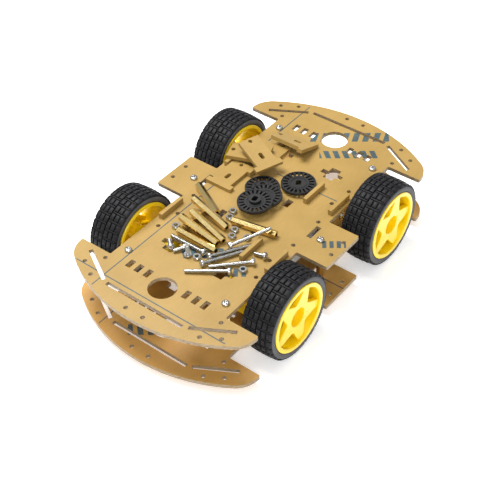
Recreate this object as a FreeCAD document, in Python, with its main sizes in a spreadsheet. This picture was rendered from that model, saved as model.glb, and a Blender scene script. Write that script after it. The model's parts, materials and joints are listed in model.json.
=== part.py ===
import FreeCAD, Part
import Sketcher
import os

from FreeCAD import Placement, Rotation, Vector

# Four wheel robot chassis: two cut plates on standoffs, four gear motors hung under the upper
# plate by pairs of T shaped brackets, four push-on wheels, and the kit's spare hardware on deck.
# The floor is z = 0, X runs across the car (+X is its left side), and its front faces -Y.

SIZES = {
    # Wheels
    "tyre_radius": 32.5,
    "tyre_seat": 24.6,
    "rim_radius": 26.1,
    "drum_radius": 22.6,
    "wheel_width": 26.2,
    "wheel_outside": 82.2,
    "wheel_base": 114,
    "lip_thick": 1.2,
    "lip_soft": 0.6,
    "tread_flat_inset": 5.5,
    "shoulder_inset": 2.6,
    "shoulder_drop": 0.5,
    "star_valley": 11,
    "star_thick": 3.2,
    "star_inset": 1.8,
    "hub_end": 51,
    "hub_radius": 5.3,
    "cup_radius": 9,
    "cup_long": 9,
    "cup_bore": 7.2,
    "cup_deep": 6,
    "rib_thick": 1.4,
    "rib_wide": 13,
    # Plates
    "plate_thick": 3,
    "lower_level": 6.25,
    "upper_level": 44.25,
    "end_radius": 129,
    "end_offset": 5,
    "notch_edge": 51.4,
    "notch_start": 19.3,
    "notch_end": 96.5,
    "tab_edge": 76.9,
    "horn_edge": 78.2,
    "horn_round": 19,
    "corner_round": 1,
    "screw_hole": 1.6,
    "slot_width": 3,
    # Gear motor
    "motor_x": 36.6,
    "gearbox_thick": 18.8,
    "gearbox_high": 22.5,
    "gearbox_nose": 11.2,
    "gearbox_back": 26,
    "shell_wall": 1.8,
    "ear_long": 5,
    "ear_thick": 3,
    "ear_high": 7,
    "ear_hole": 1.5,
    "post_radius": 3,
    "collar_radius": 4.6,
    "collar_long": 3.6,
    "screw_inboard": 20,
    "screw_apart": 17.5,
    "can_radius": 10.05,
    "can_flats": 15.1,
    "can_long": 25,
    "boss_radius": 3,
    "boss_long": 1.6,
    "cap_long": 2.4,
    "cap_inset": 0.6,
    "strap_thick": 0.8,
    "strap_wide": 8,
    "strap_hole": 3.2,
    "shaft_radius": 2.7,
    "shaft_flats": 3.7,
    "shaft_long": 37,
    "running_gap": 0.06,
    # T brackets
    "leg_wide": 17,
    "leg_long": 26.5,
    "head_wide": 23,
    "head_high": 4.5,
    "bracket_thick": 3,
    "long_hole_travel": 3.2,
    # Fasteners
    "screw_radius": 1.45,
    "screw_head_radius": 2.75,
    "screw_head_high": 2.2,
    "screw_dome": 0.9,
    "cross_long": 3.2,
    "cross_wide": 0.7,
    "cross_deep": 0.7,
    "long_screw": 30,
    "short_screw": 8,
    "nut_flats": 5.5,
    "nut_high": 2.4,
    "standoff_flats": 5,
    "standoff_long": 35,
    "thread_bore": 1.5,
    # Encoder discs
    "disc_radius": 13,
    "disc_thick": 1.8,
    "disc_hub_radius": 4.4,
    "disc_hub_high": 2.2,
    "disc_slot_long": 3.8,
    "disc_slot_wide": 1.5,
    "disc_rim": 1.4,
}

ALL_CORNERS = ((1, 1), (1, -1), (-1, 1), (-1, -1))

doc = FreeCAD.newDocument("FourWheelChassis")
sheet = doc.addObject("Spreadsheet::Sheet", "Size")
for row, (alias, value) in enumerate(SIZES.items(), 1):
    sheet.set(f"A{row}", alias)
    sheet.set(f"B{row}", str(value))
    sheet.setAlias(f"B{row}", alias)
doc.recompute()

nodes = []


def size(alias):
    """One driving dimension, read back from the sheet."""
    return float(getattr(sheet, alias))


def bind(piece, fields):
    """Bind properties of a feature to expressions over the sheet."""
    for field, expression in fields.items():
        piece.setExpression(field, expression)


def place(piece, spot, rotation=None):
    """Turn a feature, and bind its position to three expressions."""
    if rotation is not None:
        piece.Placement = Placement(Vector(), rotation)
    bind(piece, {f".Placement.Base.{axis}": text for axis, text in zip("xyz", spot)})


def cylinder(name, radius, length, spot, axis="z"):
    """A round bar whose near end is centred on spot and which runs along +axis."""
    turns = {
        "x": Rotation(Vector(0, 1, 0), 90),
        "y": Rotation(Vector(1, 0, 0), -90),
        "z": Rotation(),
    }
    piece = doc.addObject("Part::Cylinder", name)
    bind(piece, {"Radius": radius, "Height": length})
    place(piece, spot, turns[axis])
    return piece


def box(name, lengths, middle):
    """A block centred on middle; lengths and middle are expressions along X, Y and Z."""
    piece = doc.addObject("Part::Box", name)
    bind(piece, dict(zip(("Length", "Width", "Height"), lengths)))
    place(piece, [f"{spot} - ({length}) / 2" for spot, length in zip(middle, lengths)])
    return piece


def hexagon(name, flats, height, spot):
    """A hexagonal bar standing on spot."""
    piece = doc.addObject("Part::Prism", name)
    piece.Polygon = 6
    bind(piece, {"Circumradius": f"{flats} / sqrt(3)", "Height": height})
    place(piece, spot)
    return piece


def fuse(name, pieces):
    result = doc.addObject("Part::MultiFuse", name)
    result.Shapes = pieces
    return result


def common(name, pieces):
    result = doc.addObject("Part::MultiCommon", name)
    result.Shapes = pieces
    return result


def group(name, pieces):
    result = doc.addObject("Part::Compound", name)
    result.Links = pieces
    return result


def cut(name, base, tools):
    result = doc.addObject("Part::Cut", name)
    result.Base = base
    result.Tool = group(name + "_tools", tools)
    return result


def sketch(owner, name, plane):
    """An empty sketch on one of the body's own origin planes."""
    result = owner.newObject("Sketcher::SketchObject", name)
    support = next(item for item in owner.Origin.OriginFeatures if item.Role == plane)
    result.AttachmentSupport = [(support, "")]
    result.MapMode = "FlatFace"
    return result


def outline(owner, name, plane, corners):
    """A closed polygon whose corners are pairs of expressions over the sheet."""
    result = sketch(owner, name, plane)
    count = len(corners)
    turn = [Rotation(Vector(0, 0, 1), 360 * step / count) for step in range(count)]
    rough = [each.multVec(Vector(30, 0, 0)) for each in turn]
    for step in range(count):
        result.addGeometry(Part.LineSegment(rough[step], rough[(step + 1) % count]))
    for step in range(count):
        result.addConstraint(Sketcher.Constraint("Coincident", step, 2, (step + 1) % count, 1))
    for step, (across, along) in enumerate(corners):
        spots = (("DistanceX", rough[step].x, across), ("DistanceY", rough[step].y, along))
        for kind, start, text in spots:
            datum = result.addConstraint(Sketcher.Constraint(kind, -1, 1, step, 1, start))
            result.setExpression(f"Constraints[{datum}]", text)
    return result


def revolve(owner, name, profile, axis_role):
    """Spin a sketch about one of the body's own axes."""
    result = owner.newObject("PartDesign::Revolution", name)
    result.Profile = profile
    axis = next(item for item in owner.Origin.OriginFeatures if item.Role == axis_role)
    result.ReferenceAxis = (axis, [""])
    result.Angle = 360
    return result


def keep(label, piece):
    """Name a finished sub-part after its node."""
    piece.Label = label
    nodes.append(piece)
    return piece


def copies(label, pattern, placements):
    """Identical pieces of one pattern, each a separate solid of one sub-part."""
    doc.recompute()
    solids = []
    for spot in placements:
        solid = pattern.Shape.copy()
        solid.Placement = spot.multiply(solid.Placement)
        solids.append(solid)
    piece = doc.addObject("Part::Feature", label)
    piece.Shape = Part.makeCompound(solids)
    piece.Placement = Placement()
    return keep(label, piece)


# ---------------------------------------------------------------- plates

# Screw holes of one quarter of a plate, as distances from the middle of the car.
QUARTER_HOLES = (
    (7.5, 128.1), (48.3, 119.2), (60.8, 112.1), (51.5, 101.4), (43.4, 86.8),
    (44.0, 55.1), (41.5, 36.9), (45.3, 14.9), (71.9, 7.4),
)
SIDE_HOLE_X = 57.7
CABLE_HOLE = (100.2, 10.2)
QUARTER_WINDOWS = (
    # x, y, width, length of a rectangular opening
    (17.1, 95.5, 4.2, 7.4),
    (25.5, 95.5, 4.2, 7.4),
    (33.3, 95.5, 4.2, 7.4),
    (15.8, 18.4, 5.0, 8.0),
    (22.5, 64.0, 18.0, 4.2),
    (22.5, 64.5, 8.0, 13.0),
)
SIDE_SLOT = (49.0, 4.3, 4.0, 13.0)
END_SLOT = (0.0, 119.0, 67.0)
WING_SLOT = (51.3, 109.6, 32.0, -29.2)
LEG_SLOT_GAP = 0.2


def plate_outline(name, level):
    """Two round ends, with a notch at each wheel and a horn past it that ends in a corner."""
    ends = [
        cylinder(f"{name}_end_{side}", "Size.end_radius", "Size.plate_thick",
                 ("0", f"{side} * Size.end_offset", level))
        for side in (1, -1)
    ]
    notch_long = "(Size.notch_end - Size.notch_start)"
    notches = [
        box(f"{name}_notch_{sx}_{sy}", ("100", notch_long, "Size.plate_thick"),
            (f"{sx} * (Size.notch_edge + 50)",
             f"{sy} * (Size.notch_end + Size.notch_start) / 2",
             f"{level} + Size.plate_thick / 2"))
        for sx, sy in ALL_CORNERS
    ]
    sides = [
        box(f"{name}_side_{sx}", ("100", "2 * Size.notch_start", "Size.plate_thick"),
            (f"{sx} * (Size.tab_edge + 50)", "0", f"{level} + Size.plate_thick / 2"))
        for sx in (1, -1)
    ]
    strip = box(f"{name}_strip", ("2 * Size.horn_edge", "3 * Size.end_radius", "Size.plate_thick"),
                ("0", "0", f"{level} + Size.plate_thick / 2"))
    trimmed = common(f"{name}_trimmed", [fuse(f"{name}_ends", ends), strip])
    blank = cut(f"{name}_blank", trimmed, notches + sides)
    doc.recompute()
    rounded = doc.addObject("Part::Fillet", f"{name}_rounded")
    rounded.Base = blank
    radii = []
    for number, edge in enumerate(blank.Shape.Edges, 1):
        box_of_edge = edge.BoundBox
        if box_of_edge.ZLength > size("plate_thick") / 2:
            past_notch = abs(box_of_edge.Center.y) > size("notch_end") + 1
            radius = size("horn_round") if past_notch else size("corner_round")
            radii.append((number, radius, radius))
    rounded.Edges = radii
    return rounded


def through(name, level, x, y, wide, long, angle=0):
    """A cutter for a straight opening, centred on x, y and turned by angle."""
    piece = doc.addObject("Part::Box", name)
    bind(piece, {"Length": str(wide), "Width": str(long), "Height": "Size.plate_thick + 2"})
    turn = Rotation(Vector(0, 0, 1), angle)
    start = turn.multVec(Vector(-wide / 2, -long / 2, 0))
    place(piece, (f"{x} + {start.x}", f"{y} + {start.y}", f"{level} - 1"), turn)
    return piece


def plate(label, level, leg_slots):
    """One plate with its holes, cable holes, slots and, on the upper plate, bracket slots."""
    cutters = []

    def hole(x, y, radius="Size.screw_hole"):
        cutters.append(cylinder(f"{label}_hole", radius, "Size.plate_thick + 2",
                                (str(x), str(y), f"{level} - 1")))

    def opening(x, y, wide, long, angle=0):
        cutters.append(through(f"{label}_opening", level, x, y, wide, long, angle))

    for sx, sy in ALL_CORNERS:
        for x, y in QUARTER_HOLES:
            hole(sx * x, sy * y)
        for x, y, wide, long in QUARTER_WINDOWS:
            opening(sx * x, sy * y, wide, long)
        x, y, long, angle = WING_SLOT
        opening(sx * x, sy * y, long, size("slot_width"), sx * sy * angle)
    for side in (1, -1):
        hole(side * SIDE_HOLE_X, 0)
        hole(0, side * CABLE_HOLE[0], str(CABLE_HOLE[1]))
        x, y, wide, long = SIDE_SLOT
        opening(side * x, y, wide, long)
        x, y, wide = END_SLOT
        opening(x, side * y, wide, size("slot_width"))
    if leg_slots:
        wide = size("bracket_thick") + LEG_SLOT_GAP
        long = size("leg_wide") + LEG_SLOT_GAP
        reach = size("gearbox_thick") / 2 + size("bracket_thick") / 2
        along = size("wheel_base") / 2 - size("screw_inboard")
        for sx, sy in ALL_CORNERS:
            for side in (1, -1):
                opening(sx * (size("motor_x") + side * reach), sy * along, wide, long)
    doc.recompute()
    windows = fuse(f"{label}_windows", cutters)
    result = doc.addObject("Part::Cut", f"{label}_cut")
    result.Base = plate_outline(label, level)
    result.Tool = windows
    return keep(label, result)


# ---------------------------------------------------------------- fasteners

def screw(name, length):
    """A pan head machine screw: head above z = 0, shank below, and a cross recess."""
    shank = cylinder(f"{name}_shank", "Size.screw_radius", length, ("0", "0", f"-({length})"))
    head = cylinder(f"{name}_blank", "Size.screw_head_radius", "Size.screw_head_high",
                    ("0", "0", "0"))
    doc.recompute()
    dome = doc.addObject("Part::Fillet", f"{name}_dome")
    dome.Base = head
    top = size("screw_head_high")
    radius = size("screw_dome")
    dome.Edges = [(number, radius, radius) for number, edge in enumerate(head.Shape.Edges, 1)
                  if edge.BoundBox.ZMin > top - 0.01]
    long, wide, high = "Size.cross_long", "Size.cross_wide", "2 * Size.cross_deep"
    cross = [
        box(f"{name}_cross_x", (long, wide, high), ("0", "0", "Size.screw_head_high")),
        box(f"{name}_cross_y", (wide, long, high), ("0", "0", "Size.screw_head_high")),
    ]
    return cut(name, fuse(f"{name}_solid", [shank, dome]), [fuse(f"{name}_cross", cross)])


def nut(name):
    """A hexagonal nut standing on z = 0, its corners turned down."""
    blank = hexagon(f"{name}_blank", "Size.nut_flats", "Size.nut_high", ("0", "0", "0"))
    turned = doc.addObject("Part::Cone", f"{name}_turned")
    bind(turned, {
        "Radius1": "Size.nut_flats / 2 + 1.4",
        "Radius2": "Size.nut_flats / 2 - 0.1",
        "Height": "Size.nut_high",
    })
    bore = cylinder(f"{name}_bore", "Size.thread_bore", "Size.nut_high + 2", ("0", "0", "-1"))
    return cut(name, common(f"{name}_hex", [blank, turned]), [bore])


def standoff(name):
    """A hexagonal pillar from z = 0, drilled through for a screw at each end."""
    bar = hexagon(f"{name}_bar", "Size.standoff_flats", "Size.standoff_long", ("0", "0", "0"))
    bore = cylinder(f"{name}_bore", "Size.thread_bore", "Size.standoff_long + 2",
                    ("0", "0", "-1"))
    return cut(name, bar, [bore])


def bracket(name):
    """A flat T: its head stands above z = 0, its leg hangs below, and it is cut for two bolts."""
    thick = "Size.bracket_thick"
    head = box(f"{name}_head", (thick, "Size.head_wide", "Size.head_high"),
               ("0", "0", "Size.head_high / 2"))
    leg = box(f"{name}_leg", (thick, "Size.leg_wide", "Size.leg_long"),
              ("0", "0", "-Size.leg_long / 2"))
    axle_drop = "Size.upper_level + Size.plate_thick - Size.tyre_radius"
    low = cylinder(f"{name}_low", "Size.screw_hole", f"{thick} + 2",
                   (f"-{thick} / 2 - 1", "0", f"-({axle_drop}) - Size.screw_apart / 2"), "x")
    ends = [
        cylinder(f"{name}_long_{step}", "Size.screw_hole", f"{thick} + 2",
                 (f"-{thick} / 2 - 1", "0",
                  f"-({axle_drop}) + Size.screw_apart / 2 - {step} * Size.long_hole_travel"), "x")
        for step in (0, 1)
    ]
    middle = box(f"{name}_long_middle",
                 (f"{thick} + 2", "2 * Size.screw_hole", "Size.long_hole_travel"),
                 ("0", "0", f"-({axle_drop}) + (Size.screw_apart - Size.long_hole_travel) / 2"))
    long_hole = fuse(f"{name}_long_hole", ends + [middle])
    return cut(name, fuse(f"{name}_blank", [head, leg]), [low, long_hole])


# ---------------------------------------------------------------- wheels and gear motors

# Wheel and motor share a frame at each corner of the car: X outward along the axle, Y from the
# axle towards the motor's tail. Its origin is the axle's crossing with the gearbox's middle.
CORNERS = {
    "front_left": (1, -1, Rotation()),
    "rear_right": (-1, 1, Rotation(Vector(0, 0, 1), 180)),
    "front_right": (-1, -1, Rotation(Vector(0, 1, 0), 180)),
    "rear_left": (1, 1, Rotation(Vector(1, 0, 0), 180)),
}


def seat(label, piece, corner):
    """Put a sub-part of a wheel or motor at its corner of the car."""
    side, end, turn = CORNERS[corner]
    place(piece, (f"{side} * Size.motor_x", f"{end} * Size.wheel_base / 2", "Size.tyre_radius"),
          turn)
    return keep(f"{label}_{corner}", piece)


def tyre(corner):
    """A solid rubber ring with rounded shoulders."""
    outside = "(Size.wheel_outside - Size.motor_x)"
    inside = "(Size.wheel_outside - Size.motor_x - Size.wheel_width)"
    owner = doc.addObject("PartDesign::Body", f"tyre_{corner}_body")
    profile = outline(owner, f"tyre_{corner}_profile", "XY_Plane", (
        (f"{inside} + Size.lip_thick", "Size.tyre_seat"),
        (f"{outside} - Size.lip_thick", "Size.tyre_seat"),
        (f"{outside} - Size.lip_thick", "Size.rim_radius"),
        (f"{outside} - 0.2", "Size.rim_radius + 0.4"),
        (f"{outside} - 0.2", "Size.tyre_radius - Size.shoulder_inset"),
        (f"{outside} - Size.shoulder_inset", "Size.tyre_radius - Size.shoulder_drop"),
        (f"{outside} - Size.tread_flat_inset", "Size.tyre_radius"),
        (f"{inside} + Size.tread_flat_inset", "Size.tyre_radius"),
        (f"{inside} + Size.shoulder_inset", "Size.tyre_radius - Size.shoulder_drop"),
        (f"{inside} + 0.2", "Size.tyre_radius - Size.shoulder_inset"),
        (f"{inside} + 0.2", "Size.rim_radius + 0.4"),
        (f"{inside} + Size.lip_thick", "Size.rim_radius"),
    ))
    revolve(owner, f"tyre_{corner}_ring", profile, "X_Axis")
    return seat("tyre", owner, corner)


def shaft_bar(name, radius, flats, length, start):
    """A round bar with two flats, along X."""
    round_bar = cylinder(f"{name}_round", radius, length, (start, "0", "0"), "x")
    flat_bar = box(f"{name}_flats", (length, f"2 * ({radius})", flats),
                   (f"{start} + ({length}) / 2", "0", "0"))
    return common(name, [round_bar, flat_bar])


def rim(corner):
    """A drum with a lip each side, a five pointed star at its face and a long hub."""
    outside = "(Size.wheel_outside - Size.motor_x)"
    inside = "(Size.wheel_outside - Size.motor_x - Size.wheel_width)"
    hub_start = "(Size.hub_end - Size.motor_x)"
    name = f"rim_{corner}"
    owner = doc.addObject("PartDesign::Body", f"{name}_drum_body")
    profile = outline(owner, f"{name}_profile", "XY_Plane", (
        (f"{inside}", "Size.drum_radius + Size.lip_soft"),
        (f"{inside}", "Size.rim_radius"),
        (f"{inside} + Size.lip_thick", "Size.rim_radius"),
        (f"{inside} + Size.lip_thick", "Size.tyre_seat"),
        (f"{outside} - Size.lip_thick", "Size.tyre_seat"),
        (f"{outside} - Size.lip_thick", "Size.rim_radius"),
        (f"{outside} - Size.lip_soft", "Size.rim_radius"),
        (f"{outside}", "Size.rim_radius - 0.7"),
        (f"{outside}", "Size.drum_radius + 0.9"),
        (f"{outside} - Size.lip_soft", "Size.drum_radius"),
        (f"{outside} - 8", "Size.drum_radius - 0.2"),
    ))
    revolve(owner, f"{name}_drum", profile, "X_Axis")

    star = doc.addObject("PartDesign::Body", f"{name}_star_body")
    corners = []
    points = 5
    for step in range(points):
        tip = "Size.drum_radius + 0.6"
        for radius, offset in ((tip, -3.4), (tip, 3.4), ("Size.star_valley", 36)):
            angle = 360 / points * step + offset
            corners.append((f"({radius}) * cos({angle} deg)", f"({radius}) * sin({angle} deg)"))
    star_sketch = outline(star, f"{name}_star_outline", "YZ_Plane", corners)
    pad = star.newObject("PartDesign::Pad", f"{name}_star")
    pad.Profile = star_sketch
    pad.setExpression("Length", "Size.star_thick")
    place(star, (f"{outside} - Size.star_inset - Size.star_thick", "0", "0"))

    hub = [
        cylinder(f"{name}_hub_tube", "Size.hub_radius", f"{outside} - 2 - {hub_start}",
                 (hub_start, "0", "0"), "x"),
        cylinder(f"{name}_hub_cup", "Size.cup_radius", "Size.cup_long",
                 (f"{outside} - Size.star_inset - Size.cup_long", "0", "0"), "x"),
    ]
    rib_start = f"({inside} + 9)"
    rib_end = f"({outside} - 4)"
    thin, wide = "Size.rib_thick", "Size.rib_wide"
    ribs = [
        box(f"{name}_rib_{axis}", (f"{rib_end} - {rib_start}", across, high),
            (f"({rib_end} + {rib_start}) / 2", "0", "0"))
        for axis, across, high in (("y", wide, thin), ("z", thin, wide))
    ]
    solid = fuse(f"{name}_solid", [owner, star] + hub + ribs)
    recess = cylinder(f"{name}_recess", "Size.cup_bore", "Size.cup_deep + 1",
                      (f"{outside} - Size.star_inset - Size.cup_deep", "0", "0"), "x")
    bore = shaft_bar(f"{name}_bore", "Size.shaft_radius + 0.02", "Size.shaft_flats + 0.04",
                     "14", f"{hub_start} - 1")
    return seat("rim", cut(name, solid, [recess, bore]), corner)


def output_shaft(corner):
    """The double ended shaft with its flats, and the last gear's plain collar inside."""
    name = f"output_shaft_{corner}"
    bar = shaft_bar(f"{name}_bar", "Size.shaft_radius", "Size.shaft_flats", "Size.shaft_long",
                    "-Size.shaft_long / 2")
    journal = cylinder(f"{name}_journal", "Size.shaft_radius", "Size.gearbox_thick",
                       ("-Size.gearbox_thick / 2", "0", "0"), "x")
    return seat("output_shaft", fuse(name, [bar, journal]), corner)


def gearbox_shell(corner, half):
    """One moulded half of the gearbox, open towards the other half at x = 0."""
    word = "outer" if half > 0 else "inner"
    name = f"gearbox_{word}_{corner}"
    deep = "Size.gearbox_thick / 2"
    length = "(Size.gearbox_nose + Size.gearbox_back)"
    middle_y = "(Size.gearbox_back - Size.gearbox_nose) / 2"
    wall = "Size.shell_wall"
    case = box(f"{name}_case", (deep, length, "Size.gearbox_high"),
               (f"{half} * {deep} / 2", middle_y, "0"))
    hollow = box(f"{name}_hollow",
                 (f"{deep} - {wall}", f"{length} - 2 * {wall}", f"Size.gearbox_high - 2 * {wall}"),
                 (f"{half} * ({deep} - {wall}) / 2", middle_y, "0"))
    ear = box(f"{name}_ear", ("Size.ear_thick / 2", "Size.ear_long + 1", "Size.ear_high"),
              (f"{half} * Size.ear_thick / 4",
               "-Size.gearbox_nose - (Size.ear_long - 1) / 2", "0"))
    start = "0" if half > 0 else f"-({deep})"
    posts = [
        cylinder(f"{name}_post_{side}", "Size.post_radius", deep,
                 (start, "Size.screw_inboard", f"{side} * Size.screw_apart / 2"), "x")
        for side in (1, -1)
    ]
    collar_start = f"{deep} - Size.collar_long" if half > 0 else f"-({deep})"
    collar = cylinder(f"{name}_collar", "Size.collar_radius", "Size.collar_long",
                      (collar_start, "0", "0"), "x")
    inside_posts = common(f"{name}_posts",
                          [box(f"{name}_room", (deep, length, "Size.gearbox_high"),
                               (f"{half} * {deep} / 2", middle_y, "0")),
                           fuse(f"{name}_post_pair", posts)])
    solid = fuse(f"{name}_solid",
                 [cut(f"{name}_cup", case, [hollow]), ear, inside_posts, collar])
    through_x = f"-({deep}) - 1"
    holes = [
        cylinder(f"{name}_screw_{side}", "Size.screw_hole", f"2 * {deep} + 2",
                 (through_x, "Size.screw_inboard", f"{side} * Size.screw_apart / 2"), "x")
        for side in (1, -1)
    ]
    holes.append(cylinder(f"{name}_bearing", "Size.shaft_radius + Size.running_gap",
                          f"2 * {deep} + 2", (through_x, "0", "0"), "x"))
    holes.append(cylinder(f"{name}_ear_hole", "Size.ear_hole", f"2 * {deep} + 2",
                          (through_x, "-Size.gearbox_nose - Size.ear_long / 2", "0"), "x"))
    holes.append(cylinder(f"{name}_motor_mouth", "Size.boss_radius + 0.1", "6",
                          ("0", "Size.gearbox_back - 4", "0"), "y"))
    return seat(f"gearbox_{word}_shell", cut(name, solid, holes), corner)


def motor_can(corner):
    """The steel can with two flats, its front boss and its thin shaft."""
    name = f"motor_can_{corner}"
    barrel = cylinder(f"{name}_barrel", "Size.can_radius", "Size.can_long",
                      ("0", "Size.gearbox_back", "0"), "y")
    flats = box(f"{name}_flats", ("Size.can_flats", "Size.can_long", "2 * Size.can_radius"),
                ("0", "Size.gearbox_back + Size.can_long / 2", "0"))
    boss = cylinder(f"{name}_boss", "Size.boss_radius", "Size.boss_long",
                    ("0", "Size.gearbox_back - Size.boss_long", "0"), "y")
    return seat("motor_can", fuse(name, [common(f"{name}_body", [barrel, flats]), boss]), corner)


def motor_end_cap(corner):
    """The moulded cap at the can's tail, with a bearing boss."""
    name = f"motor_end_cap_{corner}"
    start = "Size.gearbox_back + Size.can_long"
    disc = cylinder(f"{name}_disc", "Size.can_radius - Size.cap_inset", "Size.cap_long",
                    ("0", start, "0"), "y")
    flats = box(f"{name}_flats",
                ("Size.can_flats - Size.cap_inset", "Size.cap_long", "2 * Size.can_radius"),
                ("0", f"{start} + Size.cap_long / 2", "0"))
    boss = cylinder(f"{name}_boss", "Size.boss_radius", "Size.cap_long + 1",
                    ("0", start, "0"), "y")
    return seat("motor_end_cap", fuse(name, [common(f"{name}_body", [disc, flats]), boss]),
                corner)


def motor_strap(corner):
    """The thin strap that runs along the can's flats and over its end cap."""
    name = f"motor_strap_{corner}"
    tail = "Size.gearbox_back + Size.can_long + Size.cap_long"
    leg_long = "(Size.can_long + Size.cap_long + Size.strap_thick)"
    legs = [
        box(f"{name}_leg_{side}", ("Size.strap_thick", leg_long, "Size.strap_wide"),
            (f"{side} * (Size.can_flats + Size.strap_thick) / 2",
             f"Size.gearbox_back + {leg_long} / 2", "0"))
        for side in (1, -1)
    ]
    bridge = box(f"{name}_bridge",
                 ("Size.can_flats + 2 * Size.strap_thick", "Size.strap_thick", "Size.strap_wide"),
                 ("0", f"{tail} + Size.strap_thick / 2", "0"))
    hole = cylinder(f"{name}_hole", "Size.strap_hole", "3", ("0", f"{tail} - 1", "0"), "y")
    return seat("motor_strap", cut(name, fuse(f"{name}_band", legs + [bridge]), [hole]), corner)


def motor_bracket(corner, half):
    """One T bracket against a gearbox face; its head stands on the upper plate."""
    side, end, _ = CORNERS[corner]
    word = "outer" if half > 0 else "inner"
    piece = bracket(f"bracket_{word}_{corner}")
    offset = f"{half} * (Size.gearbox_thick + Size.bracket_thick) / 2"
    place(piece, (
        f"{side} * (Size.motor_x + {offset})",
        f"{end} * (Size.wheel_base / 2 - Size.screw_inboard)",
        "Size.upper_level + Size.plate_thick",
    ))
    return keep(f"motor_bracket_{word}_{corner}", piece)


# ---------------------------------------------------------------- hardware loose on the deck

DECK = size("upper_level") + size("plate_thick")
UP = Vector(0, 0, 1)


def turned(*steps):
    """Rotations about X, Y or Z, in the order in which they are made."""
    axes = {"x": Vector(1, 0, 0), "y": Vector(0, 1, 0), "z": UP}
    total = Rotation()
    for axis, degrees in steps:
        total = Rotation(axes[axis], degrees).multiply(total)
    return total


def resting(shape, middle, x, y, lift, turn):
    """Placement with the shape's middle over x, y and its lowest point lift above the deck."""
    away = Placement(Vector(), turn).multiply(Placement(Vector(0, 0, -middle), Rotation()))
    test = shape.copy()
    test.Placement = away.multiply(test.Placement)
    lowest = test.optimalBoundingBox(False, False).ZMin
    return Placement(Vector(x, y, DECK + lift - lowest), Rotation()).multiply(away)


def rods(pattern, middle, rows):
    """Lay copies of a piece made along Z: x, y, heading of its +Z end, its pitch, its lift."""
    doc.recompute()
    return [
        resting(pattern.Shape, middle, x, y, lift, turned(("y", 90 - pitch), ("z", heading)))
        for x, y, heading, pitch, lift in rows
    ]


def brackets_flat(pattern, rows):
    """Lay brackets on their faces: x, y, heading of the head, its pitch, roll, and lift."""
    doc.recompute()
    middle = (size("head_high") - size("leg_long")) / 2
    return [
        resting(pattern.Shape, middle, x, y, lift,
                turned(("y", 90), ("x", roll), ("y", -pitch), ("z", heading)))
        for x, y, heading, pitch, roll, lift in rows
    ]


def encoder_disc(label, row):
    """A slotted disc with a raised hub and a bore that fits the shaft."""
    hub = cylinder(f"{label}_hub", "Size.disc_hub_radius", "Size.disc_thick + Size.disc_hub_high",
                   ("0", "0", "0"))
    disc = cylinder(f"{label}_disc", "Size.disc_radius", "Size.disc_thick", ("0", "0", "0"))
    slots = []
    count = 20
    for step in range(count):
        turn = Rotation(UP, 360 / count * step)
        slot = doc.addObject("Part::Box", f"{label}_slot")
        bind(slot, {
            "Length": "Size.disc_slot_long",
            "Width": "Size.disc_slot_wide",
            "Height": "Size.disc_thick + 2",
        })
        inner_end = size("disc_radius") - size("disc_rim") - size("disc_slot_long")
        start = turn.multVec(Vector(inner_end, -size("disc_slot_wide") / 2, 0))
        place(slot, (str(start.x), str(start.y), "-1"), turn)
        slots.append(slot)
    bore = shaft_bar(f"{label}_bore", "Size.shaft_radius + 0.05", "Size.shaft_flats + 0.1",
                     "12", "-6")
    upright = group(f"{label}_bore_up", [bore])
    upright.Placement = Placement(Vector(), Rotation(Vector(0, 1, 0), 90))
    piece = cut(f"{label}_cut", fuse(f"{label}_blank", [disc, hub]), slots + [upright])
    doc.recompute()
    x, y, lift, turn = row
    piece.Placement = resting(piece.Shape, 0, x, y, lift, turn)
    return keep(label, piece)


# x, y of the middle, heading, pitch, lift of the lowest point
LOOSE_STANDOFFS = (
    (-32.2, -14.4, -28, 0, 0),
    (-18.0, -28.1, 172, 10.9, 0),
    (-11.4, -39.1, 169, 8.4, 0),
    (-13.4, -46.2, 176, 9.2, 0),
    (-9.6, -52.8, -2, 0, 0),
    (14.2, -18.9, 10, 0, 0),
)
LOOSE_LONG_SCREWS = (
    (-12.6, -58.9, -2, 2.5, 0),
    (19.9, -31.0, 238, -11.0, 0),
    (14.9, -47.4, 240, 2.5, 0),
    (15.0, -55.5, 242, 2.5, 0),
    (24.2, -56.6, 43, 2.5, 0),
    (15.5, -71.5, 34, 2.5, 0),
)
LOOSE_SHORT_SCREWS = (
    (34.5, -38.0, 8, 8.0, 0),
    (-14.0, -66.0, 55, 8.0, 0),
    (-6.5, -66.5, 0, -90.0, 0),
    (-23.0, -66.0, -40, 8.0, 0),
)
LOOSE_NUTS = (
    (-32.7, -48.9, 10), (-10.0, -12.8, 40), (-7.6, -19.2, 5), (3.6, -27.7, 25),
    (6.2, -33.9, 50), (15.7, -29.0, 15), (33.4, -55.8, 35), (0.0, -64.6, 20),
)
# x, y of the middle, heading of the head, pitch, roll, lift
LOOSE_BRACKETS = (
    (-36.6, 18.0, -90, 0, 0, 0),
    (-34.5, 57.6, 0, 0, 0, 0),
    (-38.0, 42.0, 20, 0, 0, 4.6),
    (-27.5, 40.6, -20, -13, 0, 6.3),
    (-20.0, 74.0, 0, 0, -20, 0),
)
# x, y of the middle, lift, how it is turned
LOOSE_DISCS = (
    (-9.1, 20.7, 0, turned(("z", 20))),
    (0.9, 10.4, 1.8, turned(("y", 180), ("z", 50))),
    (0.4, -0.2, 5.8, turned(("z", 10))),
    (11.0, 38.0, 0, turned(("y", 180), ("z", 25))),
)

plate("lower_plate", "Size.lower_level", False)
plate("upper_plate", "Size.upper_level", True)

STANDOFF_SPOTS = [(sx * 43.4, sy * 86.8) for sx, sy in ALL_CORNERS]
STANDOFF_SPOTS += [(side * SIDE_HOLE_X, 0) for side in (1, -1)]
lower_top = size("lower_level") + size("plate_thick")

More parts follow.
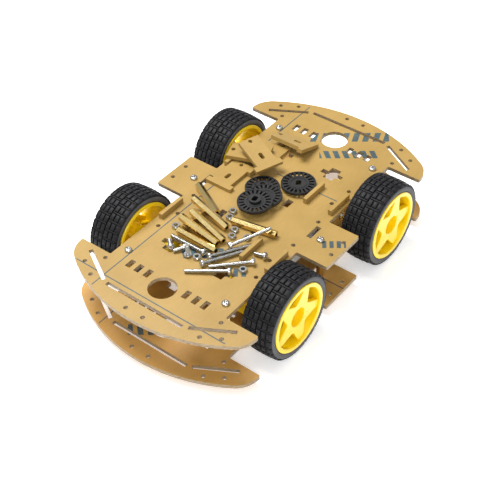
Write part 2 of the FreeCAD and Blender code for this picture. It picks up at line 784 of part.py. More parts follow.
standoff_pattern = standoff("standoff")
short_pattern = screw("short_screw", "Size.short_screw")
long_pattern = screw("long_screw", "Size.long_screw")
nut_pattern = nut("nut")

copies("plate_standoffs", standoff_pattern,
       [Placement(Vector(x, y, lower_top), Rotation()) for x, y in STANDOFF_SPOTS])
under = Rotation(Vector(1, 0, 0), 180)
copies("standoff_screws", short_pattern,
       [Placement(Vector(x, y, DECK), Rotation()) for x, y in STANDOFF_SPOTS]
       + [Placement(Vector(x, y, size("lower_level")), under) for x, y in STANDOFF_SPOTS])

bolt_spots = []
nut_spots = []
for side, end, _ in CORNERS.values():
    face = size("gearbox_thick") / 2 + size("bracket_thick")
    y = end * (size("wheel_base") / 2 - size("screw_inboard"))
    outward = Rotation(Vector(0, 1, 0), 90 * side)
    flats_up = Rotation(UP, 30)
    inward = Rotation(Vector(0, 1, 0), -90 * side).multiply(flats_up)
    for up in (1, -1):
        z = size("tyre_radius") + up * size("screw_apart") / 2
        bolt_spots.append(Placement(Vector(side * (size("motor_x") + face), y, z), outward))
        nut_spots.append(Placement(Vector(side * (size("motor_x") - face), y, z), inward))
copies("bracket_bolts", long_pattern, bolt_spots)
copies("bracket_nuts", nut_pattern, nut_spots)

for corner in CORNERS:
    for half in (1, -1):
        motor_bracket(corner, half)
        gearbox_shell(corner, half)
    motor_can(corner)
    motor_end_cap(corner)
    motor_strap(corner)
    output_shaft(corner)
    rim(corner)
    tyre(corner)

bracket_pattern = bracket("loose_bracket")
copies("loose_standoffs", standoff_pattern,
       rods(standoff_pattern, size("standoff_long") / 2, LOOSE_STANDOFFS))
copies("loose_long_screws", long_pattern,
       rods(long_pattern, -size("long_screw") / 2 + 1, LOOSE_LONG_SCREWS))
copies("loose_short_screws", short_pattern,
       rods(short_pattern, -size("short_screw") / 2 + 1, LOOSE_SHORT_SCREWS))
copies("loose_nuts", nut_pattern,
       [Placement(Vector(x, y, DECK), Rotation(UP, turn)) for x, y, turn in LOOSE_NUTS])
copies("loose_brackets", bracket_pattern, brackets_flat(bracket_pattern, LOOSE_BRACKETS))
for number, row in enumerate(LOOSE_DISCS, 1):
    encoder_disc(f"encoder_disc_{number}", row)

doc.recompute()
for item in doc.Objects:
    if {"Invalid", "Error"} & set(item.State):
        raise RuntimeError(f"{item.Name} failed: {item.State}")
os.makedirs("parts", exist_ok=True)
for piece in nodes:
    if piece.Shape.isNull() or not piece.Shape.isValid():
        raise RuntimeError(f"{piece.Label} has no valid shape")
    piece.Shape.exportStep(f"parts/{piece.Label}.step")
    print(piece.Label, len(piece.Shape.Solids), round(piece.Shape.Volume, 1))
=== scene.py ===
import json
import math

import bmesh
import bpy
import numpy as np
from mathutils import Matrix, Vector


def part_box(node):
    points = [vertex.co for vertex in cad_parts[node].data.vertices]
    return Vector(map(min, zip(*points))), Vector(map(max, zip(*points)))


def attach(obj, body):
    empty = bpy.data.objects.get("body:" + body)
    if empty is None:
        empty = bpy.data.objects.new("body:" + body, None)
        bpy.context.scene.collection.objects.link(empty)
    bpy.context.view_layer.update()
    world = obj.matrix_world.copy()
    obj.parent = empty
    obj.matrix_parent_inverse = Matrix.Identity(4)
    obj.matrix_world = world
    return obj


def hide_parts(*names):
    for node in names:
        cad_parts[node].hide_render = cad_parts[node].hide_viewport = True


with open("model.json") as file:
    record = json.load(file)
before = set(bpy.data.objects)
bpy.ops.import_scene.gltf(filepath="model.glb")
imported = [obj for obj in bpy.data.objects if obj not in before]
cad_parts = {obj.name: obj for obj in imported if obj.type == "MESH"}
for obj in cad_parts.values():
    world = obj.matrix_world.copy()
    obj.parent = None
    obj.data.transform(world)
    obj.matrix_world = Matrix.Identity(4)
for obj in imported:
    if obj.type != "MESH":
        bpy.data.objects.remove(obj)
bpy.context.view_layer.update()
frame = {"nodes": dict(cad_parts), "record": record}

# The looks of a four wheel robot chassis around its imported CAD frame. Sizes are in millimetres
# and MM turns them into metres; places come from the frame's own boxes.

MM = 0.001
CORNERS = ("front_left", "front_right", "rear_left", "rear_right")
LOOSE = "loose_hardware"
WHEEL_RADIUS = 32.5
CARCASS_RADIUS = 31.1
CROWN_HALF_WIDTH = 11.2
SHOULDER_RADIUS = 30.3
SHOULDER_SLOPE = 42.85      # radius plus distance from the tyre's middle, just above its shoulder


# ---------------------------------------------------------------- materials

NOISE_LOW, NOISE_HIGH = 0.3, 0.7    # nearly all of a noise texture lies between these
BAR_GAP = 0.42                      # the bare share of each bar's pitch
# Where the tyre's painted grey sheen band lies on its side walls.
WALL_RADIUS = 28.4
WALL_REACH = 1.8
WALL_START = 12

class Paint:
    """A material's node tree, with short ways to add nodes and join them."""

    def __init__(self, name, color, roughness, metallic=0.0, **constants):
        self.material = bpy.data.materials.new(name)
        self.material.use_nodes = True
        self.tree = self.material.node_tree
        self.shader = self.tree.nodes["Principled BSDF"]
        self.shader.inputs["Base Color"].default_value = (*color, 1)
        self.shader.inputs["Roughness"].default_value = roughness
        self.shader.inputs["Metallic"].default_value = metallic
        for socket, value in constants.items():
            self.shader.inputs[socket.replace("_", " ")].default_value = value
        self.place = self.node("ShaderNodeTexCoord").outputs["Object"]

    def node(self, kind, **values):
        result = self.tree.nodes.new(kind)
        for key, value in values.items():
            if key in result.inputs:
                result.inputs[key].default_value = value
            else:
                setattr(result, key, value)
        return result

    def join(self, output, socket):
        self.tree.links.new(output, socket)

    def noise(self, scale, detail, stretch=None):
        """Noise over the object's own space; scale is in features per metre."""
        texture = self.node("ShaderNodeTexNoise", Scale=scale, Detail=detail)
        place = self.place
        if stretch:
            mapping = self.node("ShaderNodeMapping")
            mapping.inputs["Scale"].default_value = stretch
            self.join(self.place, mapping.inputs["Vector"])
            place = mapping.outputs["Vector"]
        self.join(place, texture.inputs["Vector"])
        return texture.outputs["Fac"]

    def ramp(self, factor, stops):
        """A colour ramp over a factor: stops are (position, colour)."""
        ramp = self.node("ShaderNodeValToRGB")
        for position, color in stops[2:]:
            ramp.color_ramp.elements.new(position)
        for element, (position, color) in zip(ramp.color_ramp.elements, stops):
            element.position = position
            element.color = (*color, 1)
        self.join(factor, ramp.inputs["Fac"])
        return ramp.outputs["Color"]

    def span(self, factor, low, high):
        """A noise's usual range moved to the range low to high."""
        span = self.node("ShaderNodeMapRange")
        ends = {"From Min": NOISE_LOW, "From Max": NOISE_HIGH, "To Min": low, "To Max": high}
        for key, value in ends.items():
            span.inputs[key].default_value = value
        self.join(factor, span.inputs["Value"])
        return span.outputs["Result"]

    def mix(self, factor, first, second):
        """A blend of two colours; inputs 0, 6 and 7 are the factor and the colours A and B."""
        mix = self.node("ShaderNodeMix", data_type="RGBA")
        for source, index in ((factor, 0), (first, 6), (second, 7)):
            socket = mix.inputs[index]
            if isinstance(source, (int, float)):
                socket.default_value = source
            else:
                self.join(source, socket)
        return mix.outputs[2]

    def color(self, output):
        self.join(output, self.shader.inputs["Base Color"])

    def rough(self, output):
        self.join(output, self.shader.inputs["Roughness"])

    def bump(self, height, strength, distance):
        bump = self.node("ShaderNodeBump", Strength=strength, Distance=distance)
        self.join(height, bump.inputs["Height"])
        self.join(bump.outputs["Normal"], self.shader.inputs["Normal"])

    def math(self, operation, *values):
        """One step of arithmetic over numbers and outputs."""
        step = self.node("ShaderNodeMath", operation=operation)
        for value, socket in zip(values, step.inputs):
            if isinstance(value, (int, float)):
                socket.default_value = value
            else:
                self.join(value, socket)
        return step.outputs[0]

    def parts_of(self, vector):
        split = self.node("ShaderNodeSeparateXYZ")
        self.join(vector, split.inputs[0])
        return split.outputs

    def facing_up(self):
        """1 on faces that look up or down, 0 on upright ones."""
        normal = self.parts_of(self.node("ShaderNodeNewGeometry").outputs["True Normal"])
        return self.math("GREATER_THAN", self.math("ABSOLUTE", normal["Z"]), 0.5)

    def block(self, x, y, length, width, degrees=0):
        """A mask of a rectangle seen from above, and the place along and across it."""
        place = self.parts_of(self.place)
        across, deep = (self.math("SUBTRACT", place[axis], value * MM)
                        for axis, value in (("X", x), ("Y", y)))
        c, s = math.cos(math.radians(degrees)), math.sin(math.radians(degrees))
        u = self.math("ADD", self.math("MULTIPLY", across, c), self.math("MULTIPLY", deep, s))
        v = self.math("SUBTRACT", self.math("MULTIPLY", deep, c), self.math("MULTIPLY", across, s))
        inside = self.math("MULTIPLY", self.math("COMPARE", u, 0, length / 2 * MM),
                           self.math("COMPARE", v, 0, width / 2 * MM))
        return inside, u, v

    def bars(self, x, y, length, width, degrees, pitch, lean):
        """A mask of a row of leaning bars inside a rectangle."""
        inside, u, v = self.block(x, y, length, width, degrees)
        along = self.math("ADD", u, self.math("MULTIPLY", v, lean))
        beat = self.math("FRACT", self.math("DIVIDE", along, pitch * MM))
        return self.math("MULTIPLY", inside, self.math("GREATER_THAN", beat, BAR_GAP))


def film_paint(name, tint, lines=(), marks=(), flat_only=True):
    """Clear acrylic under its tan paper: mottled satin faces with printing, and cut edges."""
    paint = Paint(name, tint, 0.5, Specular_IOR_Level=0.35)
    shade = [tuple(share * channel for channel in tint) for share in (0.84, 0.93, 1.05, 1.12)]
    fibres = paint.noise(900, 4, (1, 0.25, 1))
    clouds = paint.noise(30, 2)
    paper = paint.ramp(fibres, [(0.35, shade[1]), (0.65, shade[2])])
    worn = paint.ramp(clouds, [(0.3, shade[0]), (0.7, shade[3])])
    face = paint.mix(0.5, paper, worn)
    printed = [paint.block(*line)[0] for line in lines] + [paint.bars(*mark) for mark in marks]
    if printed:
        total = printed[0]
        for mask in printed[1:]:
            total = paint.math("MAXIMUM", total, mask)
        wear = paint.span(paint.noise(900, 3), 0.8, 1.0)
        ink = paint.ramp(clouds, [(0.3, (0.010, 0.045, 0.065)), (0.7, (0.020, 0.070, 0.095))])
        face = paint.mix(paint.math("MULTIPLY", total, wear), face, ink)
    if flat_only:
        edge = paint.ramp(paint.noise(400, 2, (1, 1, 8)),
                          [(0.3, (0.15, 0.09, 0.035)), (0.7, (0.42, 0.33, 0.21))])
        face = paint.mix(paint.facing_up(), edge, face)
    paint.color(face)
    paint.rough(paint.span(clouds, 0.34, 0.5))
    paint.bump(fibres, 0.25, 0.0002)
    return paint.material


def rubber_paint():
    """Matt black rubber with a fine grain, with painted shade between the pads and a painted grey
    sheen on the side walls.
    """
    paint = Paint("tyre_rubber", (0.009, 0.009, 0.010), 0.6, Specular_IOR_Level=0.25)
    bloom = paint.noise(120, 4)
    tread = paint.ramp(bloom, [(0.3, (0.004, 0.004, 0.005)), (0.7, (0.010, 0.010, 0.012))])
    place = paint.parts_of(paint.place)
    radius = paint.math("SQRT", paint.math("ADD", paint.math("POWER", place["Y"], 2),
                                           paint.math("POWER", place["Z"], 2)))
    aside = paint.math("ABSOLUTE", place["X"])
    crown = paint.math("LESS_THAN", aside, CROWN_HALF_WIDTH * MM)
    low = paint.math("LESS_THAN", radius, (CARCASS_RADIUS + 0.3) * MM)
    between_pads = paint.math("MULTIPLY", crown, low)
    slope = paint.math("ADD", aside, radius)
    sunk = paint.math("MULTIPLY", paint.math("GREATER_THAN", radius, SHOULDER_RADIUS * MM),
                      paint.math("LESS_THAN", slope, SHOULDER_SLOPE * MM))
    between_lugs = paint.math("MULTIPLY", sunk, paint.math("SUBTRACT", 1, crown))
    # Painted shade: the grooves between the pads and the hollows between the shoulder lugs are
    # coloured near black below.
    groove_shade = paint.math("MAXIMUM", between_pads, between_lugs)
    # Painted sheen: a lighter grey band on the side walls stands in for a highlight on the smooth
    # rubber.
    wall = paint.math("MULTIPLY",
                      paint.math("COMPARE", radius, WALL_RADIUS * MM, WALL_REACH * MM),
                      paint.math("GREATER_THAN", aside, WALL_START * MM))
    wall_sheen = paint.ramp(bloom, [(0.3, (0.065, 0.066, 0.071)), (0.7, (0.100, 0.101, 0.108))])
    tread = paint.mix(groove_shade, tread, paint.ramp(bloom, [(0.3, (0.001,) * 3), (0.7, (0.003,) * 3)]))
    paint.color(paint.mix(wall, tread, wall_sheen))
    paint.rough(paint.span(bloom, 0.52, 0.7))
    paint.bump(paint.noise(2600, 2), 0.25, 0.0002)
    return paint.material


def moulded_paint(name, light, deep, roughness, **constants):
    """Moulded plastic: two close shades in soft clouds, and a faint flow texture."""
    paint = Paint(name, light, roughness, **constants)
    clouds = paint.noise(60, 2)
    paint.color(paint.ramp(clouds, [(0.3, deep), (0.7, light)]))
    paint.rough(paint.span(clouds, roughness, roughness + 0.1))
    paint.bump(paint.noise(700, 2), 0.06, 0.0002)
    return paint.material


def metal_paint(name, light, deep, roughness, grain):
    """Plated or turned metal: fine streaks along one way and small dull patches."""
    paint = Paint(name, light, roughness, 1.0)
    streaks = paint.noise(500, 3, grain)
    patches = paint.noise(90, 3)
    paint.color(paint.ramp(patches, [(0.3, deep), (0.7, light)]))
    paint.rough(paint.span(streaks, roughness - 0.03, roughness + 0.06))
    paint.bump(streaks, 0.01, 0.0001)
    return paint.material


TAN = (0.32, 0.203, 0.056)
BROWN = (0.46, 0.25, 0.062)
# x, y, length, width of each printed line, and the same with a turn, a pitch and a lean for bars
UPPER_LINES = ((-40.7, -1, 0.9, 250), (-1, -114, 132, 0.9), (17.5, 41, 57, 0.9))
UPPER_MARKS = (
    (2, -57, 34, 10, 36, 6.5, 0.3), (27, -62, 22, 8, 36, 5.5, 0), (67.5, 2, 17, 7, 36, 5, 0),
    (7, 109, 62, 11, 36, 8, -0.25), (19, 91, 44, 9, 36, 7, 0.25),
)
LOWER_LINES = ((-40.7, -1, 0.9, 250), (67, 2.4, 20, 0.9))
LOWER_MARKS = ((-6, -108, 36, 10, 36, 7, 0.2), (49, -82, 26, 9, 36, 6, 0))

UPPER_FILM = film_paint("upper_film", TAN, UPPER_LINES, UPPER_MARKS)
LOWER_FILM = film_paint("lower_film", BROWN, LOWER_LINES, LOWER_MARKS)
BRACKET_FILM = film_paint("bracket_film", TAN, flat_only=False)
RUBBER = rubber_paint()
YELLOW = moulded_paint("rim_yellow", (0.93, 0.66, 0.004), (0.88, 0.60, 0.003), 0.24,
                       Coat_Weight=0.3)
SHELL_YELLOW = moulded_paint("gearbox_yellow", (0.78, 0.53, 0.003), (0.70, 0.45, 0.002), 0.3)
NYLON = moulded_paint("white_nylon", (0.66, 0.63, 0.54), (0.58, 0.55, 0.47), 0.42)
STRAP = moulded_paint("milky_strap", (0.62, 0.63, 0.61), (0.54, 0.55, 0.53), 0.25)
DISC_BLACK = moulded_paint("disc_black", (0.009, 0.009, 0.010), (0.005, 0.005, 0.006), 0.32)
BRASS = metal_paint("turned_brass", (0.74, 0.58, 0.27), (0.66, 0.50, 0.20), 0.12, (1, 1, 6))
STEEL = metal_paint("nickel_steel", (0.58, 0.58, 0.56), (0.48, 0.48, 0.47), 0.18, (1, 1, 6))
CAN_STEEL = metal_paint("rolled_steel", (0.45, 0.45, 0.46), (0.34, 0.34, 0.35), 0.32, (1, 8, 1))

CAD_PAINTS = {
    "plate_film": UPPER_FILM,
    "bracket_film": BRACKET_FILM,
    "brass": BRASS,
    "screw_steel": STEEL,
    "can_steel": CAN_STEEL,
    "cap_plastic": NYLON,
    "strap_plastic": STRAP,
    "gearbox_yellow": SHELL_YELLOW,
    "shaft_nylon": NYLON,
    "rim_yellow": YELLOW,
    "tyre_rubber": RUBBER,
    "disc_black": DISC_BLACK,
}


def paint_cad_nodes():
    """Give every CAD node the finished material of its slot."""
    slots = {item["node"]: item["material_slot"] for item in frame["record"]["subparts"]}
    for name, node in frame["nodes"].items():
        node.data.materials.clear()
        paint = LOWER_FILM if name == "lower_plate" else CAD_PAINTS[slots[name]]
        node.data.materials.append(paint)
        node.data.set_sharp_from_angle(angle=math.radians(30))


# ---------------------------------------------------------------- meshes

def piece_from(name, parts, material, smooth_angle=32):
    """One object from several (verts, faces) lists in millimetres."""
    verts, faces = [], []
    for part_verts, part_faces in parts:
        start = len(verts)
        verts += [Vector(v) * MM for v in part_verts]
        faces += [[start + index for index in face] for face in part_faces]
    mesh = bpy.data.meshes.new(name)
    mesh.from_pydata(verts, [], faces)
    mesh.materials.append(material)
    mesh.polygons.foreach_set("use_smooth", [True] * len(mesh.polygons))
    mesh.set_sharp_from_angle(angle=math.radians(smooth_angle))
    tidy = bmesh.new()
    tidy.from_mesh(mesh)
    bmesh.ops.remove_doubles(tidy, verts=tidy.verts, dist=1e-7)
    bmesh.ops.recalc_face_normals(tidy, faces=tidy.faces)
    tidy.to_mesh(mesh)
    tidy.free()
    result = bpy.data.objects.new(name, mesh)
    bpy.context.scene.collection.objects.link(result)
    return result


def lathe(profile, segments=96):
    """A closed profile of (x, radius) pairs spun about X."""
    verts = []
    for step in range(segments):
        turn = 2 * math.pi * step / segments
        verts += [(x, r * math.cos(turn), r * math.sin(turn)) for x, r in profile]
    count = len(profile)
    faces = []
    for step in range(segments):
        here = step * count
        there = (step + 1) % segments * count
        for k in range(count):
            after = (k + 1) % count
            faces.append((here + k, here + after, there + after, there + k))
    return verts, faces


def rounded(corners, steps):
    """An outline from (x, y, radius) corners, each turned into an arc."""
    outline = []
    count = len(corners)
    for k in range(count):
        x, y, radius = corners[k]
        here = Vector((x, y))
        back = (Vector(corners[k - 1][:2]) - here).normalized()
        ahead = (Vector(corners[(k + 1) % count][:2]) - here).normalized()
        if radius <= 0:
            outline.append(here)
            continue
        half = back.angle(ahead) / 2
        reach = radius / math.tan(half)
        middle = here + (back + ahead).normalized() * radius / math.sin(half)
        start = here + back * reach - middle
        end = here + ahead * reach - middle
        sweep = start.angle_signed(end)
        for step in range(steps + 1):
            turned = start.copy()
            turned.rotate(Matrix.Rotation(-sweep * step / steps, 2))
            outline.append(middle + turned)
    return outline


def prism(outline, low, high):
    """An outline in YZ drawn out along X from low to high."""
    count = len(outline)
    verts = [(x, point.x, point.y) for x in (low, high) for point in outline]
    faces = [tuple(range(count)), tuple(range(count, 2 * count))[::-1]]
    for k in range(count):
        after = (k + 1) % count
        faces.append((k, after, count + after, count + k))
    return verts, faces


def ring_prism(outline, hole, low, high, bevel):
    """A prism along X with a round hole, its upper rims bevelled."""
    count = len(outline)
    verts = []
    for x, inset, radius in ((low, 0, hole), (high - bevel, 0, hole), (high, bevel, hole + bevel)):
        for k, point in enumerate(outline):
            along = (outline[(k + 1) % count] - outline[k - 1]).normalized()
            shrunk = point - Vector((along.y, -along.x)) * inset
            verts.append((x, shrunk.x, shrunk.y))
        for point in outline:
            inner = point.normalized() * radius
            verts.append((x, inner.x, inner.y))
    faces = []
    for k in range(count):
        after = (k + 1) % count
        for ring in (0, 2 * count):
            for side in (0, count):
                faces.append((ring + side + k, ring + side + after,
                              ring + side + after + 2 * count, ring + side + k + 2 * count))
        for ring in (0, 4 * count):
            faces.append((ring + k, ring + after, ring + count + after, ring + count + k))
    return verts, faces


def moved(part, matrix):
    verts, faces = part
    return [matrix @ Vector(v) for v in verts], faces


# ---------------------------------------------------------------- wheels

TREAD_ROWS = ((2.0, 0.0, 0), (6.0, 0.2, 4), (10.0, 0.75, 13))    # place, drop and lean of each row
TREAD_COUNT = 30
PAD_WIDTH = 3.0
PAD_GAP = 2.3
PAD_DEPTH = 1.5
SPOKES = 5
SPOKE_LEAN = 6.8            # degrees from a spoke's middle to either side of its root
SPOKE_WAIST = 11.6          # radius of the star's inner corners


def tread_block(width, length, low, high):
    """One pad of the tread, standing on the carcass, with softened upper edges."""
    soft = min(0.4, length / 4)
    verts = []
    for inset, height in ((0, low), (0, high - soft * 0.7), (soft, high)):
        x, y = width / 2 - inset, length / 2 - inset
        verts += [(-x, -y, height), (x, -y, height), (x, y, height), (-x, y, height)]
    faces = [(8, 9, 10, 11), (3, 2, 1, 0)]
    for ring in (0, 4):
        for k in range(4):
            after = (k + 1) % 4
            faces.append((ring + k, ring + after, ring + 4 + after, ring + 4 + k))
    return verts, faces


def tyre_parts():
    """A carcass with bulged side walls, and on each half of it three rows of pads that line up
    across, a thin rib between one rank and the next, and lugs on the shoulder."""
    half = [(11.9, 24.7), (12.0, 26.3), (12.45, 26.9), (12.8, 28.0), (12.85, 29.2), (12.4, 30.2),
            (11.5, 30.85), (9.0, CARCASS_RADIUS)]
    profile = half + [(-x, r) for x, r in reversed(half)]
    parts = [lathe(profile, 120)]
    pitch = 2 * math.pi * WHEEL_RADIUS / TREAD_COUNT
    for side, stagger in ((-1, 0), (1, 0.5)):
        pads = [(x, drop, lean, PAD_WIDTH, pitch - PAD_GAP, 0) for x, drop, lean in TREAD_ROWS]
        shoulder_lug = (11.9, 1.1, 45, 1.8, pitch - 1.3, 0)
        rib = (5.8, 0.5, 3, 10.6, 0.9, 0.5)
        for x, drop, lean, width, length, shift in pads + [shoulder_lug, rib]:
            block = tread_block(width, length, low=-PAD_DEPTH, high=0)
            seat = (Matrix.Translation((side * x, 0, WHEEL_RADIUS - drop))
                    @ Matrix.Rotation(math.radians(side * lean), 4, "Y"))
            for step in range(TREAD_COUNT):
                turn = 2 * math.pi * (step + stagger + shift) / TREAD_COUNT
                parts.append(moved(block, Matrix.Rotation(turn, 4, "X") @ seat))
    return parts


def rim_parts():
    """A lipped drum, a five pointed star of spokes near its face, and a long hollow hub."""
    drum = [
        (-13.1, 23.4), (-13.1, 25.6), (-12.7, 26.0), (-12.0, 26.0), (-11.9, 24.6),
        (11.9, 24.6), (12.0, 26.05), (12.6, 26.1), (12.95, 25.8), (13.1, 25.1), (13.1, 23.9),
        (12.9, 23.2), (12.3, 22.8), (4.0, 22.4), (-11.5, 22.9),
    ]
    hub = [
        (-18.1, 2.75), (-18.1, 4.9), (-17.7, 5.3), (0.5, 6.0), (2.3, 9.0), (10.4, 9.0),
        (10.4, 7.4), (5.6, 7.2), (5.2, 6.8), (5.2, 0), (2.3, 0), (-4.0, 0), (-4.0, 2.75),
    ]
    corners = []
    pitch = 360 / SPOKES
    tips = ((-SPOKE_LEAN, 22.9, 0), (SPOKE_LEAN, 22.9, 0), (pitch / 2, SPOKE_WAIST, 2.6))
    for step in range(SPOKES):
        for offset, radius, corner in tips:
            turn = math.radians(pitch * step + offset)
            corners.append((radius * math.cos(turn), radius * math.sin(turn), corner))
    star = ring_prism(rounded(corners, steps=6), hole=7.2, low=8.1, high=11.3, bevel=0.4)
    ribs = []
    rib_outline = [Vector(p) for p in ((8.1, -0.7), (22.6, -0.7), (22.6, 0.7), (8.1, 0.7))]
    rib = prism(rib_outline, low=2.5, high=9.5)
    for step in range(SPOKES):
        ribs.append(moved(rib, Matrix.Rotation(math.radians(pitch * step), 4, "X")))
    return [lathe(drum, 120), lathe(hub, 64), star] + ribs


def build_wheels():
    """A tyre and a rim on each wheel's body, the right-hand ones turned about Z."""
    star_turn = {"front": -10, "rear": 0}
    for corner in CORNERS:
        low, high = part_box(f"tyre_{corner}")
        middle = (low + high) / 2
        facing = Matrix.Rotation(0 if middle.x > 0 else math.pi, 4, "Z")
        spin = Matrix.Rotation(math.radians(star_turn[corner.split("_")[0]]), 4, "X")
        turned_rim = [moved(part, spin) for part in rim_parts()]
        tyre = piece_from(f"treaded_tyre_{corner}", tyre_parts(), RUBBER, 40)
        rim = piece_from(f"star_rim_{corner}", turned_rim, YELLOW, 30)
        for piece, node, slot in ((tyre, "tyre", "tyre_rubber"), (rim, "rim", "rim_yellow")):
            piece.matrix_world = Matrix.Translation(middle) @ facing
            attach(piece, f"wheel_{corner}")
            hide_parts(f"{node}_{corner}")


# ---------------------------------------------------------------- loose and fixed hardware

SCREW_HEAD_RADIUS = 2.75
SCREW_HEAD_HIGH = 2.2
SHANK_RADIUS = 1.3
THREAD_CREST = 1.45
THREAD_ROOT = 1.22
THREAD_PITCH = 0.5
CROSS_LONG = 1.65
CROSS_WIDE = 0.35
CROSS_FLOOR = 1.4
DISC_THICK = 1.8


def islands(node):
    """The separate solids of a CAD node, each as a list of points in millimetres."""
    mesh = bmesh.new()
    mesh.from_mesh(frame["nodes"][node].data)
    bmesh.ops.remove_doubles(mesh, verts=mesh.verts, dist=1e-6)
    left, found = set(mesh.verts), []
    while left:
        reach = [left.pop()]
        points = []
        while reach:
            vert = reach.pop()
            points.append(vert.co / MM)
            for edge in vert.link_edges:
                other = edge.other_vert(vert)
                if other in left:
                    left.remove(other)
                    reach.append(other)
        found.append(points)
    mesh.free()
    return found


def screw_spot(points):
    """A screw's length and its frame: origin where head meets shank, X out through the head."""
    cloud = np.array(points)
    middle = cloud.mean(0)
    spreads, ways = np.linalg.eigh(np.cov((cloud - middle).T))
    odd = 2 if spreads[2] - spreads[1] > spreads[1] - spreads[0] else 0
    axis = ways[:, odd]
    along = (cloud - middle) @ axis
    away = np.linalg.norm(cloud - middle - np.outer(along, axis), axis=1)
    if along[away > SCREW_HEAD_RADIUS - 0.2].mean() < 0:
        axis, along = -axis, -along
    seat = Vector(middle + axis * (along.max() - SCREW_HEAD_HIGH))
    turn = Vector(axis).to_track_quat("X", "Z").to_matrix().to_4x4()
    return along.max() - along.min() - SCREW_HEAD_HIGH, Matrix.Translation(seat * MM) @ turn


def screw_mesh(length):
    """A screw along X with a domed head, a thread of close rings, and a cross recess."""
    head = SCREW_HEAD_RADIUS
    profile = [(-length, 0), (-length, 1.0), (-length + 0.35, SHANK_RADIUS)]
    count = int((length - 0.8) / THREAD_PITCH)
    for step in range(count):
        x = -length + 0.5 + step * THREAD_PITCH
        profile += [(x, THREAD_CREST), (x + 0.08, THREAD_CREST),
                    (x + 0.25, THREAD_ROOT), (x + 0.33, THREAD_ROOT)]
    profile += [(-0.2, SHANK_RADIUS), (0, SHANK_RADIUS), (0, head - 0.15), (0.15, head)]
    dome = 1.2
    for step in range(7):
        turn = math.radians(90 * step / 6)
        rise = SCREW_HEAD_HIGH - dome
        profile.append((rise + dome * math.sin(turn), head - 1.5 + 1.5 * math.cos(turn)))
    profile.append((SCREW_HEAD_HIGH, 0))
    blank = piece_from(f"screw_blank_{length:.0f}", [lathe(profile, 24)], STEEL)
    for name, wide, high in (("first", CROSS_WIDE, CROSS_LONG), ("second", CROSS_LONG, CROSS_WIDE)):
        corners = [Vector(c) for c in ((wide, -high), (wide, high), (-wide, high), (-wide, -high))]
        arm = prism(corners, CROSS_FLOOR, SCREW_HEAD_HIGH + 0.4)
        cutter = piece_from(f"{name}_arm", [arm], STEEL)
        sink = blank.modifiers.new(name, "BOOLEAN")
        sink.object = cutter
        sink.operation = "DIFFERENCE"
        sink.solver = "EXACT"
    bpy.context.view_layer.update()
    ready = blank.evaluated_get(bpy.context.evaluated_depsgraph_get())
    mesh = bpy.data.meshes.new_from_object(ready)
    for spent in [blank] + [sink.object for sink in blank.modifiers]:
        bpy.data.objects.remove(spent)
    return mesh


def build_screws():
    """Threaded screws in place of the CAD's plain ones, each where its own solid is."""
    meshes = {}
    bodies = {"loose_long_screws": LOOSE, "loose_short_screws": LOOSE,
              "bracket_bolts": "chassis", "standoff_screws": "chassis"}
    for node, body in bodies.items():
        for number, points in enumerate(islands(node), 1):
            length, spot = screw_spot(points)
            size = round(length)
            if size not in meshes:
                meshes[size] = screw_mesh(size)
            screw = bpy.data.objects.new(f"{node}_{number}", meshes[size])
            bpy.context.scene.collection.objects.link(screw)
            screw.matrix_world = spot
            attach(screw, body)
            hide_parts(node)


def build_disc_rings():
    """The raised rings moulded on each encoder disc's upper face."""
    for number in (1, 2, 3, 4):
        low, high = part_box(f"encoder_disc_{number}")
        middle = (low + high) / 2
        collar_up = number in (1, 3)
        face = low.z / MM + DISC_THICK if collar_up else high.z / MM
        rings = []
        for inner, outer in ((5.5, 6.4), (11.9, 12.6)):
            ring = [(-0.05, inner), (0.25, inner), (0.35, inner + 0.12), (0.35, outer - 0.12),
                    (0.25, outer), (-0.05, outer)]
            rings.append(lathe(ring, 72))
        piece = piece_from(f"disc_rings_{number}", rings, DISC_BLACK)
        stand = Matrix.Rotation(math.radians(-90), 4, "Y")
        piece.matrix_world = Matrix.Translation((middle.x, middle.y, face * MM)) @ stand
        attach(piece, LOOSE)


# ---------------------------------------------------------------- floor, light and camera

def soft_box(name, place, size, power):
    """A square area light that looks at the middle of the car."""
    light = bpy.data.lights.new(name, "AREA")
    light.shape = "SQUARE"
    light.size = size
    light.energy = power
    lamp = bpy.data.objects.new(name, light)
    bpy.context.scene.collection.objects.link(lamp)
    lamp.location = place
    towards = Vector((0, 0, 0.03)) - Vector(place)
    lamp.rotation_euler = towards.to_track_quat("-Z", "Y").to_euler()


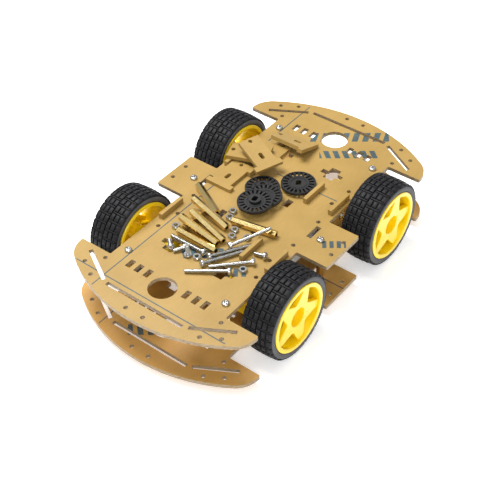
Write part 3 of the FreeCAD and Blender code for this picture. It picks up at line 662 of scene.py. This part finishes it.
def build_stage():
    """A plain pale floor under soft light from all round."""
    reach = 40000
    corners = [(-reach, -reach, 0), (reach, -reach, 0), (reach, reach, 0), (-reach, reach, 0)]
    pale = Paint("pale_floor", (0.92, 0.92, 0.92), 0.75, Emission_Strength=0.38)
    pale.shader.inputs["Emission Color"].default_value = (1, 1, 1, 1)
    floor = piece_from("floor", [(corners, [(0, 1, 2, 3)])], pale.material)
    world = bpy.data.worlds.new("studio")
    bpy.context.scene.world = world
    world.use_nodes = True
    tree = world.node_tree
    split = tree.nodes.new("ShaderNodeSeparateXYZ")
    sky = tree.nodes.new("ShaderNodeValToRGB")
    tree.links.new(tree.nodes.new("ShaderNodeTexCoord").outputs["Generated"], split.inputs[0])
    tree.links.new(split.outputs["Z"], sky.inputs["Fac"])
    tree.links.new(sky.outputs["Color"], tree.nodes["Background"].inputs["Color"])
    for position, grey in ((0.05, 0.9), (0.15, 0.16)):
        stop = sky.color_ramp.elements.new(position)
        stop.color = (grey, grey, grey, 1)
    sky.color_ramp.elements[0].color = (0.9, 0.9, 0.9, 1)
    sky.color_ramp.elements[-1].position = 0.85
    tree.nodes["Background"].inputs["Strength"].default_value = 0.85
    soft_box("key", (-0.45, 0.0, 1.1), 0.6, 20)
    soft_box("fill", (0.9, -0.9, 0.8), 0.9, 9)
    bpy.context.scene.view_settings.view_transform = "Standard"


def build_camera():
    """The studio camera: about 43 degrees above the car, off its front left corner."""
    azimuth, elevation, roll = (math.radians(a) for a in (39.82, 43.08, -2.44))
    distance = 754.5 * MM
    target = Vector((14.45, -24.8, 33.0)) * MM
    back = Vector((math.sin(azimuth) * math.cos(elevation),
                   -math.cos(azimuth) * math.cos(elevation), math.sin(elevation)))
    right = Vector((0, 0, 1)).cross(back).normalized()
    up = back.cross(right)
    level = Matrix((right, up, back)).transposed()
    data = bpy.data.cameras.new("camera")
    data.lens = 76.6
    data.sensor_width = 36
    camera = bpy.data.objects.new("camera", data)
    bpy.context.scene.collection.objects.link(camera)
    turn = (level @ Matrix.Rotation(roll, 3, "Z")).to_4x4()
    camera.matrix_world = Matrix.Translation(target + back * distance) @ turn
    bpy.context.scene.camera = camera


paint_cad_nodes()
build_wheels()
build_screws()
build_disc_rings()
build_stage()
build_camera()
